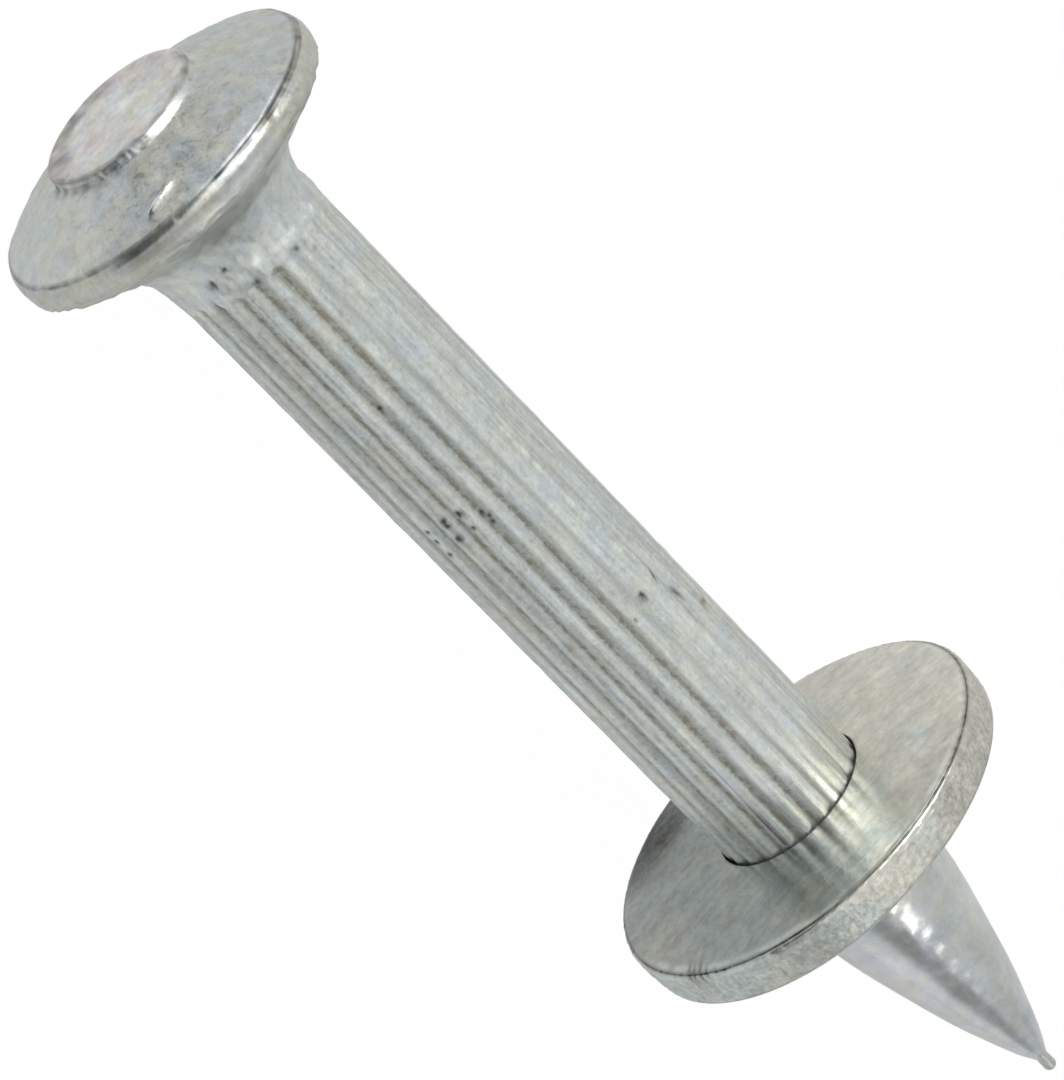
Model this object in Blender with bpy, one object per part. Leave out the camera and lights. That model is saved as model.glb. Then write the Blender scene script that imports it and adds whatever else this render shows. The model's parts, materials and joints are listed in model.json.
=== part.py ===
"""Hammer drive anchor: a fluted hardened drive pin with a washer pressed onto its shank.

Both pieces are turned about one axis, the pin's, with z = 0 at the crown of the head and z growing
toward the point. The finished anchor then lies on the ground as it comes to rest, on the lip of its
head and the rim of its washer, with the point toward +X.
"""

from math import atan2, cos, pi, radians, sin, tan

import bmesh
import bpy
from mathutils import Matrix, Vector

# Overall length of the pin, from the crown of the boss to the end of the nub
PIN_LENGTH = 0.03905

# Boss, the low round button in the middle of the head
BOSS_RADIUS = 0.00222
BOSS_CROWN = 0.00007
BOSS_EDGE_ROUND = 0.00010
BOSS_HEIGHT = 0.00038
BOSS_FLARE = 0.00022

# Flange, the cone round the boss, with its rolled lip and its sloping underside
FLANGE_RADIUS = 0.00485
FLANGE_SLOPE = radians(22.0)
FLANGE_CROWN = 0.00004
LIP_STEP = 0.00004
LIP_HEIGHT = 0.00074
LIP_BULGE = 0.00008
UNDERSIDE_SLOPE = radians(30.0)
NECK_FILLET = 0.00180

# Shank, which narrows very slightly from the neck to the point
SHANK_RADIUS_AT_NECK = 0.00233
SHANK_RADIUS_AT_POINT = 0.002295

# Flutes, rolled lengthwise grooves with rounded ridges between them
FLUTE_COUNT = 22
FLUTE_DEPTH = 0.00010
FLUTE_RUNOUT = 0.00045
PLAIN_BELOW_NECK = 0.00026
PLAIN_ABOVE_POINT = 0.00040

# Point, an ogive tangent to the shank, with a small nub at its end
POINT_LENGTH = 0.01053
NUB_LENGTH = 0.00055
NUB_RADIUS = 0.00019
NUB_WAIST = 0.00002

# Washer, a punched disc whose top rim is rolled over, held where the shank ends
WASHER_RADIUS = 0.00600
WASHER_THICKNESS = 0.00150
WASHER_ABOVE_POINT = 0.00122
WASHER_CLEARANCE = 0.00010
BORE_CHAMFER = 0.00005
ROLL_OVER_DROP = 0.00024
RIM_INSET = 0.00012
RIM_BULGE = 0.00003
LOWER_RIM_ROUND = 0.00014

# Facets: every round form has the same number of sides, with a flat side on the ground
SIDES_PER_FLUTE = 4
SIDES = FLUTE_COUNT * SIDES_PER_FLUTE
MERGE_DISTANCE = 0.000001
SHARP_ANGLE = radians(30.0)

ZINC_ON_PIN = (0.62, 0.64, 0.62)
ZINC_ON_WASHER = (0.60, 0.61, 0.58)


def arc(centre, radius, start, end, steps):
    """Points (r, z) of an arc, at angles measured from the +r direction toward +z."""
    points = []
    for i in range(steps + 1):
        angle = start + (end - start) * i / steps
        points.append((centre[0] + radius * cos(angle), centre[1] + radius * sin(angle)))
    return points


def bow(start, end, bulge, steps):
    """Points of a shallow curve that stands out from its chord by bulge, to the outer side."""
    chord = Vector(end) - Vector(start)
    outward = Vector((chord.y, -chord.x)).normalized()
    points = []
    for i in range(steps + 1):
        share = i / steps
        point = Vector(start) + chord * share + outward * (bulge * 4.0 * share * (1.0 - share))
        points.append((point.x, point.y))
    return points


def point_start():
    """Height at which the shank ends and the ogive begins."""
    return PIN_LENGTH - POINT_LENGTH


def washer_top():
    """Height of the washer's top face at its bore."""
    return point_start() - WASHER_ABOVE_POINT


def boss_profile():
    """Crown, rounded edge and flared wall of the boss, from the axis outward."""
    flat_radius = BOSS_RADIUS - BOSS_EDGE_ROUND
    points = [(0.0, 0.0), (flat_radius / 2.0, BOSS_CROWN / 4.0)]
    edge_centre = (flat_radius, BOSS_CROWN + BOSS_EDGE_ROUND)
    points += arc(edge_centre, BOSS_EDGE_ROUND, radians(-90.0), radians(-20.0), 3)
    points.append((BOSS_RADIUS + BOSS_FLARE, BOSS_HEIGHT))
    return points


def flange_profile(boss_foot):
    """Cone of the flange, then its lip down to the edge where the underside begins."""
    drop = (FLANGE_RADIUS - boss_foot[0]) * tan(FLANGE_SLOPE)
    crease = (FLANGE_RADIUS, boss_foot[1] + drop)
    lip_top = (FLANGE_RADIUS + LIP_STEP, crease[1] + LIP_STEP)
    lip_bottom = (lip_top[0], lip_top[1] + LIP_HEIGHT)
    cone = bow(boss_foot, crease, FLANGE_CROWN, 3)[1:]
    lip = bow(lip_top, lip_bottom, LIP_BULGE, 4)
    return cone + lip


def lip_crest(flange):
    """Widest point of the lip, which is the middle one of its five."""
    return flange[-3]


def neck_profile(lip_bottom):
    """Fillet that leads the flange's sloping underside into the shank."""
    turn = radians(90.0) - UNDERSIDE_SLOPE
    meeting_radius = SHANK_RADIUS_AT_NECK + NECK_FILLET * (1.0 - cos(turn))
    meeting_z = lip_bottom[1] + (lip_bottom[0] - meeting_radius) * tan(UNDERSIDE_SLOPE)
    centre = (SHANK_RADIUS_AT_NECK + NECK_FILLET, meeting_z + NECK_FILLET * sin(turn))
    return arc(centre, NECK_FILLET, pi + turn, pi, 5)


def shank_radius(z, neck_z):
    """Radius over the ridges at a height between the neck and the point."""
    share = (z - neck_z) / (point_start() - neck_z)
    return SHANK_RADIUS_AT_NECK + (SHANK_RADIUS_AT_POINT - SHANK_RADIUS_AT_NECK) * share


def flute_ends(neck_z):
    """Heights at which the flutes begin below the neck and have run out above the point."""
    return neck_z + PLAIN_BELOW_NECK, point_start() - PLAIN_ABOVE_POINT


def shank_profile(neck_z):
    """Stations of the shank, close together where the flutes run in and out."""
    start, end = flute_ends(neck_z)
    steps = 3
    heights = [start + FLUTE_RUNOUT * i / steps for i in range(steps + 1)]
    heights += [end - FLUTE_RUNOUT * (steps - i) / steps for i in range(steps + 1)]
    heights.append(point_start())
    return [(shank_radius(z, neck_z), z) for z in heights]


def point_profile():
    """Ogive tangent to the shank, then the nub that closes it on the axis."""
    waist = NUB_RADIUS - NUB_WAIST
    length = POINT_LENGTH - NUB_LENGTH
    narrowing = SHANK_RADIUS_AT_POINT - waist
    radius = (length ** 2 + narrowing ** 2) / (2.0 * narrowing)
    centre = (SHANK_RADIUS_AT_POINT - radius, point_start())
    ogive = arc(centre, radius, 0.0, atan2(length, radius - narrowing), 11)[1:]
    nub = arc((0.0, PIN_LENGTH - NUB_RADIUS), NUB_RADIUS, 0.0, radians(90.0), 4)
    return ogive + nub[:-1] + [(0.0, PIN_LENGTH)]


def pin_profile():
    """Half section of the blank pin from axis to axis, its neck height and its lip crest."""
    boss = boss_profile()
    flange = flange_profile(boss[-1])
    neck = neck_profile(flange[-1])
    neck_z = neck[-1][1]
    points = boss + flange + neck + shank_profile(neck_z) + point_profile()
    return points, neck_z, lip_crest(flange)


def washer_profile(neck_z):
    """Closed section of the washer, from the bore outward along the top and back below."""
    top = washer_top()
    bottom = top + WASHER_THICKNESS
    bore = shank_radius(top, neck_z) + WASHER_CLEARANCE
    crease = (WASHER_RADIUS - RIM_INSET, top + ROLL_OVER_DROP)
    low = (WASHER_RADIUS - RIM_INSET, bottom - LOWER_RIM_ROUND)
    points = bow((bore + BORE_CHAMFER, top), crease, ROLL_OVER_DROP / 4.0, 4)
    points.append((WASHER_RADIUS - RIM_BULGE, crease[1] + RIM_INSET))
    points.append(rim_crest())
    points.append((WASHER_RADIUS - RIM_BULGE, low[1] - RIM_INSET))
    points.append(low)
    points.append((low[0] - LOWER_RIM_ROUND, bottom))
    points.append((bore + BORE_CHAMFER, bottom))
    points.append((bore, bottom - BORE_CHAMFER))
    points.append((bore, top + BORE_CHAMFER))
    return points


def rim_crest():
    """Widest point of the washer's rim, half way between its two edges."""
    upper = washer_top() + ROLL_OVER_DROP
    lower = washer_top() + WASHER_THICKNESS - LOWER_RIM_ROUND
    return (WASHER_RADIUS, (upper + lower) / 2.0)


def spin_profile(points, closed):
    """Turn a profile of (r, z) points about the z axis into one closed skin."""
    bm = bmesh.new()
    half_side = pi / SIDES
    verts = [bm.verts.new((r * cos(half_side), r * sin(half_side), z)) for r, z in points]
    pairs = list(zip(verts, verts[1:]))
    if closed:
        pairs.append((verts[-1], verts[0]))
    edges = [bm.edges.new(pair) for pair in pairs]
    bmesh.ops.spin(
        bm,
        geom=verts + edges,
        cent=(0.0, 0.0, 0.0),
        axis=(0.0, 0.0, 1.0),
        angle=2.0 * pi,
        steps=SIDES,
        use_merge=True,
    )
    bmesh.ops.remove_doubles(bm, verts=bm.verts, dist=MERGE_DISTANCE)
    bmesh.ops.recalc_face_normals(bm, faces=bm.faces)
    return bm


def runout(z, start, end):
    """How far a flute has grown at height z: 0 at its ends, 1 along its full depth."""
    share = min((z - start) / FLUTE_RUNOUT, (end - z) / FLUTE_RUNOUT)
    share = min(max(share, 0.0), 1.0)
    return share * share * (3.0 - 2.0 * share)


def press_flutes(bm, neck_z):
    """Press the grooves into the shank: sharp valleys between rounded ridges."""
    start, end = flute_ends(neck_z)
    for vert in bm.verts:
        if not start <= vert.co.z <= end:
            continue
        turn = atan2(vert.co.y, vert.co.x) / (2.0 * pi) - 0.5 / SIDES
        phase = (turn * FLUTE_COUNT) % 1.0
        sink = FLUTE_DEPTH * (1.0 - 4.0 * phase * (1.0 - phase)) * runout(vert.co.z, start, end)
        radius = Vector((vert.co.x, vert.co.y)).length
        vert.co.x *= 1.0 - sink / radius
        vert.co.y *= 1.0 - sink / radius


def zinc_material(name, colour, roughness):
    """Zinc-plated steel with a slightly cloudy shine."""
    material = bpy.data.materials.new(name)
    material.use_nodes = True
    shader = material.node_tree.nodes["Principled BSDF"]
    shader.inputs["Base Color"].default_value = (*colour, 1.0)
    shader.inputs["Metallic"].default_value = 1.0
    shader.inputs["Roughness"].default_value = roughness
    return material


def add_piece(name, bm, parent, material):
    """Make a named object of a turned skin, shaded smooth up to its real edges."""
    mesh = bpy.data.meshes.new(name)
    bm.to_mesh(mesh)
    bm.free()
    mesh.materials.append(material)
    mesh.shade_smooth()
    mesh.set_sharp_from_angle(angle=SHARP_ANGLE)
    piece = bpy.data.objects.new(name, mesh)
    bpy.context.scene.collection.objects.link(piece)
    piece.parent = parent
    return piece


def rest_matrix(crest_of_lip, crest_of_rim):
    """Turn the axis toward +X, tilted so that the lip and the rim touch the same ground."""
    flat = cos(pi / SIDES)
    rise = (crest_of_rim[0] - crest_of_lip[0]) * flat
    tilt = atan2(rise, crest_of_rim[1] - crest_of_lip[1])
    return Matrix.Rotation(radians(90.0) - tilt, 4, "Y")


def stand_on_origin(axis, pieces):
    """Move the axis so that the box of the pieces has the middle of its base at the origin."""
    bpy.context.view_layer.update()
    corners = [piece.matrix_world @ vert.co for piece in pieces for vert in piece.data.vertices]
    low = Vector([min(corner[i] for corner in corners) for i in range(3)])
    high = Vector([max(corner[i] for corner in corners) for i in range(3)])
    middle = (low + high) / 2.0
    axis.location -= Vector((middle.x, middle.y, low.z))


def main():
    for old in list(bpy.data.objects):
        bpy.data.objects.remove(old, do_unlink=True)
    profile, neck_z, crest_of_lip = pin_profile()

    axis = bpy.data.objects.new("pin_axis", None)
    bpy.context.scene.collection.objects.link(axis)
    axis.matrix_world = rest_matrix(crest_of_lip, rim_crest())

    pin_skin = spin_profile(profile, closed=False)
    press_flutes(pin_skin, neck_z)
    pin_zinc = zinc_material("pin_zinc", ZINC_ON_PIN, 0.36)
    drive_pin = add_piece("drive_pin", pin_skin, axis, pin_zinc)

    washer_skin = spin_profile(washer_profile(neck_z), closed=True)
    washer_zinc = zinc_material("washer_zinc", ZINC_ON_WASHER, 0.30)
    washer = add_piece("washer", washer_skin, axis, washer_zinc)

    stand_on_origin(axis, [drive_pin, washer])


main()
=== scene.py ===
"""Hammer drive anchor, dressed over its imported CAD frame.

One operator makes the drive pin, one the washer and one the stage. Lengths are in metres unless a
comment says millimetres. A place on the anchor has a height, measured along the pin from the crown
of the head toward the point, a distance from the pin's axis, and an angle round it, which is 0 on the
side that faces the camera and grows toward the side that faces -Y.
"""

import json
import math
from functools import partial

import bpy
import numpy as np
from bpy.props import BoolProperty, FloatProperty, FloatVectorProperty, IntProperty, PointerProperty
from mathutils import Matrix, Vector


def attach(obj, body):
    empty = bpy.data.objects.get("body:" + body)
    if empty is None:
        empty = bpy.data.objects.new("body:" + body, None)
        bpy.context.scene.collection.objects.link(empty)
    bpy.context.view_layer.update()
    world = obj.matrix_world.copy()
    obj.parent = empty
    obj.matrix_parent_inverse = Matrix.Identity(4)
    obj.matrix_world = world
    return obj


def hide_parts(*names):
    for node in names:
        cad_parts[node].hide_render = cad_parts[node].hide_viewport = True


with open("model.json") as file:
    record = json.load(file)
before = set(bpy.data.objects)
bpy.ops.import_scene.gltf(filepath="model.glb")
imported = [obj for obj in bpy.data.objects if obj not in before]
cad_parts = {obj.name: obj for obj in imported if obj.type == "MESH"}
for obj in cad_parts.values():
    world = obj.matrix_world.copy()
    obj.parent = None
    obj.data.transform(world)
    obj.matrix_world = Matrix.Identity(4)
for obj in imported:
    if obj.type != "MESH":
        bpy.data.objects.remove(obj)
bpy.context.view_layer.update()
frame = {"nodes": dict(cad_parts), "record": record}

bl_info = {
    "name": "Hammer drive anchor",
    "version": (1, 0, 0),
    "blender": (4, 5, 0),
    "location": "3D View > Sidebar > Anchor",
    "description": "Makes a zinc plated drive pin with its washer, and a plain stage for it",
    "category": "Add Mesh",
}

PIN = "drive_pin"
WASHER = "washer"
MM = 0.001
TURN = 2 * math.pi


# What the frame says about the anchor


def node_points(name):
    """Corners of a CAD node, as rows of x, y and z."""
    mesh = frame["nodes"][name].data
    flat = np.empty(3 * len(mesh.vertices), dtype=np.float32)
    mesh.vertices.foreach_get("co", flat)
    return flat.reshape(-1, 3).astype(float)


AXIS = np.array(frame["record"]["mounts"][0]["axis"], dtype=float)
AXIS /= np.linalg.norm(AXIS)
NEAR = np.array((-AXIS[2], 0.0, AXIS[0]))
SIDE = np.array((0.0, -1.0, 0.0))
PIN_REACH = node_points(PIN) @ AXIS
PIN_LENGTH = float(np.ptp(PIN_REACH))
CROWN = node_points(PIN)[PIN_REACH.argmax()] - PIN_LENGTH * AXIS
WASHER_REACH = (node_points(WASHER) - CROWN) @ AXIS
WASHER_TOP = float(WASHER_REACH.min())
WASHER_THICKNESS = float(np.ptp(WASHER_REACH))
WASHER_SPREAD = float(np.abs(node_points(WASHER)[:, 1]).max())

# A round form of the frame has this many flat sides, and a smooth one fits inside them
FRAME_SIDES = 88
INSIDE_FLATS = math.cos(math.pi / FRAME_SIDES)


# Sizes and finishes that a user may change


def span(name, description, default):
    """Setting for a length."""
    return FloatProperty(name=name, description=description, default=default, unit="LENGTH")


def slope(name, description, degrees):
    """Setting for an angle."""
    return FloatProperty(name=name, description=description, default=math.radians(degrees), subtype="ANGLE")


def paint(name, description, default):
    """Setting for a colour."""
    return FloatVectorProperty(name=name, description=description, default=default, subtype="COLOR")


def gloss(name, description, default):
    """Setting for a roughness."""
    return FloatProperty(name=name, description=description, default=default, subtype="FACTOR")


class AnchorPinSettings(bpy.types.PropertyGroup):
    """Sizes of the drive pin"""

    boss_radius: span("Boss radius", "Button on top of the head", 2.26 * MM)
    boss_height: span("Boss height", "From crown to flange", 0.38 * MM)
    boss_flare: span("Boss flare", "How far its wall spreads", 0.19 * MM)
    flange_radius: span("Flange radius", "Crease of the flange", 4.83 * MM)
    flange_slope: slope("Flange slope", "Fall of the cone round the boss", 22)
    lip_radius: span("Lip radius", "Widest part of the head", 4.97 * MM)
    lip_height: span("Lip height", "Rolled lip", 0.72 * MM)
    underside_slope: slope("Underside slope", "Slope under the flange", 30)
    neck_fillet: span("Neck fillet", "Round under the head", 1.8 * MM)
    neck_radius: span("Neck radius", "Shank below the head", 2.33 * MM)
    end_radius: span("End radius", "Shank above the point", 2.295 * MM)
    flute_count: IntProperty(name="Flutes", description="Rolled grooves round the shank", default=22, min=9)
    flute_depth: span("Flute depth", "Depth of a groove", 0.124 * MM)
    point_length: span("Point length", "Long smooth point", 10.53 * MM)
    nub_radius: span("Nub radius", "Small knob at the end", 0.18 * MM)


class AnchorWasherSettings(bpy.types.PropertyGroup):
    """Sizes of the washer"""

    radius: span("Radius", "Outer rim", WASHER_SPREAD)
    thickness: span("Thickness", "Sheet", WASHER_THICKNESS)
    bore_radius: span("Bore radius", "Punched hole", 2.318 * MM)
    roll_over: span("Roll-over", "Fall of the face to its rim", 0.24 * MM)
    rim_inset: span("Rim inset", "How far the edges stand in", 0.12 * MM)
    lower_round: span("Lower round", "Round of the lower edge", 0.24 * MM)


class AnchorZincSettings(bpy.types.PropertyGroup):
    """Colours and gloss of the zinc plating"""

    cool: paint("Cool zinc", "Bluish plating", (0.595, 0.645, 0.637))
    warm: paint("Warm zinc", "Yellowish plating", (0.640, 0.655, 0.607))
    bright: paint("Bright zinc", "Polished point", (0.68, 0.705, 0.688))
    # Painted light: the point's left side is lighter
    bright_left: paint("Bright zinc, left", "Its left side", (0.714, 0.72, 0.738))
    # This colour paints dusting and shade in the grooves and on the nub
    grime_and_shade: paint("Grime", "Dust in hollows", (0.225, 0.19, 0.125))
    stain: paint("Stain", "Brown spots", (0.29, 0.2, 0.09))
    # This near-black colours the pits and also paints the shade in creases, under the head and in the bore
    pit_and_shade: paint("Pit", "Pits and dark lines", (0.03, 0.03, 0.025))
    roughness: gloss("Roughness", "Of the dull plating", 0.42)
    washer_cool: paint("Cool washer", "Bluish side of the washer", (0.6, 0.65, 0.625))
    washer_warm: paint("Warm washer", "Yellowish side of the washer", (0.7, 0.68, 0.605))
    washer_roughness: gloss("Washer roughness", "Of its face", 0.225)


class AnchorStageSettings(bpy.types.PropertyGroup):
    """Camera and floor"""

    view_tilt: slope("View tilt", "How far the point leans away from the camera", 24.25)
    view_turn: slope("View turn", "Fall of the pin across the picture", 45.68)
    distance: span("Distance", "Camera to anchor", 183.3 * MM)
    lens: FloatProperty(name="Lens", description="Focal length", default=226.67, unit="CAMERA")
    floor_half: span("Floor", "Half the floor's width", 1.5)
    with_floor: BoolProperty(name="With floor", description="Lay the floor too", default=True)


# Curves of the half sections, as rows of (height, distance from the axis)


def line(start, end, count):
    """Straight stretch: start plus an even share of the way to end."""
    share = np.linspace(0, 1, count)[:, None]
    return np.asarray(start) + share * (np.asarray(end) - np.asarray(start))


def arc(centre, radius, start, end, count):
    """Arc: centre plus radius times (sine, cosine) of an angle that runs evenly to its end."""
    angle = np.linspace(start, end, count)
    return np.stack((centre[0] + radius * np.sin(angle), centre[1] + radius * np.cos(angle)), -1)


def bend(start, corner, end, count):
    """Parabola that leaves start toward corner and comes into end from it."""
    share = np.linspace(0, 1, count)[:, None]
    start, corner, end = (np.asarray(p, dtype=float) for p in (start, corner, end))
    return start * (1 - share) ** 2 + 2 * corner * share * (1 - share) + end * share**2


def bow(start, end, bulge, count):
    """Chord plus a parabola that stands out from it by bulge half way along."""
    share = (np.linspace(0, 1, count) if np.isscalar(count) else np.asarray(count))[:, None]
    start, end = np.asarray(start, dtype=float), np.asarray(end, dtype=float)
    chord = end - start
    outward = np.array((-chord[1], chord[0])) / np.linalg.norm(chord)
    return start + share * chord + outward * (4 * bulge * share * (1 - share))


def chain(*stretches):
    """The stretches one after another, each without the point that it shares with the last."""
    joined = [stretches[0]]
    for stretch in stretches[1:]:
        gap = np.linalg.norm(stretch[0] - joined[-1][-1])
        joined.append(stretch[1:] if gap < 1e-8 else stretch)
    return np.concatenate(joined)


def rise(value, low, high):
    """0 below low, 1 above high, and 3 x^2 - 2 x^3 between, with x the share of the way."""
    share = np.clip((value - low) / (high - low), 0, 1)
    return share * share * (3 - 2 * share)


def window(value, low, high, soft):
    """1 between low and high, falling to 0 over a width of soft outside them."""
    return rise(value, low - soft, low) * (1 - rise(value, high, high + soft))


def around(angle, centre):
    """Angle from centre, taken the short way round, between minus and plus half a turn."""
    return (angle - centre + math.pi) % TURN - math.pi


def unevenness(points, size, seed, waves=48):
    """Random relief near -1 to 1: a sum of cosine waves of about one length that run every way."""
    rng = np.random.default_rng(seed)
    ways = rng.normal(size=(waves, 3))
    ways /= np.linalg.norm(ways, axis=1)[:, None]
    lengths = size * rng.uniform(0.7, 1.5, waves)
    phases = rng.uniform(0, TURN, waves)
    total = np.zeros(points.shape[:-1])
    for way, length, phase in zip(ways, lengths, phases):
        total += np.cos(points @ (way * TURN / length) + phase)
    return total * math.sqrt(1 / waves)


class Turned:
    """A surface turned about the pin's axis, as a grid with a row for each point of its section.

    The point of a row and an angle is crown + height * axis + distance * (cos(angle) * near +
    sin(angle) * side). A relief moves it along the section's outward normal, a sink moves it toward
    the axis, and a shift moves it sideways.
    """

    def __init__(self, section, columns, closed=False):
        self.section = section
        self.closed = closed
        self.height = np.repeat(section[:, :1], columns, 1)
        self.distance = np.repeat(section[:, 1:], columns, 1)
        self.angle = np.repeat((np.arange(columns) * TURN / columns)[None], len(section), 0)
        step = np.roll(section, -1, 0) - np.roll(section, 1, 0)
        if not closed:
            step[0] = section[1] - section[0]
            step[-1] = section[-1] - section[-2]
        step /= np.maximum(np.linalg.norm(step, axis=1), 1e-12)[:, None]
        self.out_along = np.repeat(-step[:, 1:], columns, 1)
        self.out_away = np.repeat(step[:, :1], columns, 1)
        hops = np.linalg.norm(np.diff(section, axis=0), axis=1)
        self.path = np.repeat(np.concatenate(([0], np.cumsum(hops)))[:, None], columns, 1)
        self.relief = np.zeros_like(self.height)
        self.sink = np.zeros_like(self.height)
        self.shift = np.zeros_like(self.height)

    def local(self):
        """Undisturbed points as near, side and axis lengths."""
        near = self.distance * np.cos(self.angle)
        side = self.distance * np.sin(self.angle)
        return np.stack((near, side, self.height), -1)

    def spot(self, angle, height, across, along, turn=0, sideward=None):
        """Bell exp(-x^2 - y^2) about a place, x and y its offsets over across and along, turned.

        Angles are in degrees and lengths in millimetres. A sideward is the width where x is positive.
        """
        height = height * MM
        row = int(np.abs(self.section[:, 0] - height).argmin())
        x = around(self.angle, math.radians(angle)) * self.section[row, 1]
        y = self.path - np.interp(height, self.section[:, 0], self.path[:, 0])
        cosine, sine = math.cos(math.radians(turn)), math.sin(math.radians(turn))
        x, y = x * cosine + y * sine, y * cosine - x * sine
        across = np.where(x > 0, sideward or across, across) * MM
        return np.exp(-((x / across) ** 2) - (y / (along * MM)) ** 2)

    def world(self):
        """Finished points in the frame's axes."""
        height = self.height + self.out_along * self.relief
        distance = self.distance + self.out_away * self.relief - self.sink
        spread = np.cos(self.angle)[..., None] * NEAR + np.sin(self.angle)[..., None] * SIDE
        along = CROWN + height[..., None] * AXIS
        return along + distance[..., None] * spread + self.shift[..., None] * SIDE

    def make(self, name, masks):
        """Mesh object of the grid, closed round its columns and at its ends, with its masks."""
        rows, columns = self.height.shape
        body = slice(None) if self.closed else slice(1, rows - 1)
        points = self.world()
        corners = points[body].reshape(-1, 3)
        values = {key: mask[body].reshape(-1) for key, mask in masks.items()}
        index = np.arange(len(corners)).reshape(-1, columns)
        if self.closed:
            index = np.concatenate((index, index[:1]))
        following = np.roll(index, -1, 1)
        quads = np.stack((index[:-1], following[:-1], following[1:], index[1:]), -1)
        faces = quads.reshape(-1, 4).tolist()
        if not self.closed:
            first = len(corners)
            top = np.stack((np.full(columns, first), following[0], index[0]), -1)
            low = np.stack((np.full(columns, first + 1), index[-1], following[-1]), -1)
            faces += top.tolist() + low.tolist()
            corners = np.concatenate((corners, points[[0, -1]].mean(1)))
            for key, mask in masks.items():
                values[key] = np.append(values[key], mask[[0, -1]].mean(1))
        mesh = bpy.data.meshes.new(name)
        mesh.from_pydata(corners.tolist(), [], faces)
        for key, value in values.items():
            layer = mesh.attributes.new(key, "FLOAT", "POINT")
            layer.data.foreach_set("value", np.clip(value, 0, 1).astype(np.float32))
        mesh.shade_smooth()
        mesh.update()
        if mesh.validate():
            raise RuntimeError(f"{name} has faces that Blender had to mend")
        piece = bpy.data.objects.new(name, mesh)
        bpy.context.scene.collection.objects.link(piece)
        return piece


# The drive pin


def pin_section(pin):
    """Half section of the pin from its crown to the end of its nub, and its named heights."""
    edge = 0.13 * MM
    crown = 0.072 * MM
    flat = pin.boss_radius - edge
    share = np.linspace(0, 1, 20)
    top = np.stack((crown * share**2, flat * share), -1)
    edge_round = arc((crown + edge, flat), edge, math.radians(-84), math.radians(-42), 5)
    foot = np.array((pin.boss_height, pin.boss_radius + pin.boss_flare))
    wall = bend(edge_round[-1], 0.35 * edge_round[-1] + 0.65 * foot + (0.02 * MM, -0.014 * MM), foot, 9)
    fall = (pin.flange_radius - foot[1]) * math.tan(pin.flange_slope)
    crease = np.array((foot[0] + fall, pin.flange_radius))
    steps = np.unique(np.concatenate((np.linspace(0, 1, 18), np.linspace(0.58, 0.92, 20))))
    cone = bow(foot, crease, 0.04 * MM, steps)

    crest = np.array((crease[0] + 0.4 * MM, pin.lip_radius * INSIDE_FLATS))
    brow = crease + np.array((0.03, -0.004)) * MM
    shelf = crease + np.array((0.205, 0.105)) * MM
    lip_low = np.array((crease[0] + 0.06 * MM + pin.lip_height, pin.flange_radius + 0.04 * MM))
    shelf_to_crest = bend(shelf, (shelf[0] + 0.07 * MM, crest[1]), crest, 7)
    lip_upper = chain(bow(brow, shelf, 0.01 * MM, 11), shelf_to_crest)
    lip_lower = bend(crest, (crest[0] + 0.26 * MM, crest[1]), lip_low, 9)

    turn = math.pi / 2 - pin.underside_slope
    meeting = pin.neck_radius + pin.neck_fillet * (1 - math.cos(turn))
    reach = (lip_low[1] - meeting) * math.tan(pin.underside_slope)
    centre = (lip_low[0] + reach + pin.neck_fillet * math.sin(turn), pin.neck_radius + pin.neck_fillet)
    fillet = arc(centre, pin.neck_fillet, math.pi + turn, math.pi, 17)
    under_low = lip_low + np.array((0.05, -0.02)) * MM
    under = line(under_low, fillet[0], 6)

    neck = centre[0]
    point_start = PIN_LENGTH - pin.point_length
    heights = np.concatenate((
        np.linspace(neck, neck + 1.2 * MM, 25),
        np.arange(neck + 1.7 * MM, point_start - 0.6 * MM, 0.5 * MM),
        np.linspace(point_start - 0.6 * MM, point_start, 4),
        *(np.linspace(low, high, count) * MM for low, high, count in PIT_BELTS),
    ))
    heights = np.unique(np.round(heights, 8))
    share = (heights - neck) / (point_start - neck)
    shank = np.stack((heights, pin.neck_radius + (pin.end_radius - pin.neck_radius) * share), -1)

    waist = pin.nub_radius - 0.02 * MM
    length = pin.point_length - 0.55 * MM
    narrowing = pin.end_radius - waist
    curve = (length**2 + narrowing**2) / (2 * narrowing)
    sweep = math.atan2(length, curve - narrowing)
    ogive = arc((point_start, pin.end_radius - curve), curve, 0, sweep, 46)
    ball = arc((PIN_LENGTH - pin.nub_radius - 0.003 * MM, 0), pin.nub_radius, 0, math.pi / 2, 7)
    section = chain(top, edge_round, wall, cone, lip_upper, lip_lower, under, fillet, shank, ogive, ball)
    section[-1, 1] = 0
    marks = {"crease": crease[0], "lip_low": lip_low[0], "neck": neck, "point": point_start}
    return section, marks


# Grooves in view: angle in degrees, height in millimetres at which each one starts, and how deep and
# how darkened it is beside the rest, by dusting and painted shade
GROOVES_IN_VIEW = (
    (-62.7, 5.38, 0.7, 0.3), (-47.1, 5.14, 0.55, 0.22), (-30.7, 5.58, 0.35, 0.1),
    (-18, 5.12, 0.72, 0.42), (-1.8, 5.12, 1, 0.95), (15, 5.05, 1, 1), (30.5, 5.1, 1.05, 1),
    (47.1, 5.01, 1.05, 1), (63.9, 4.99, 1, 1),
)
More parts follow.
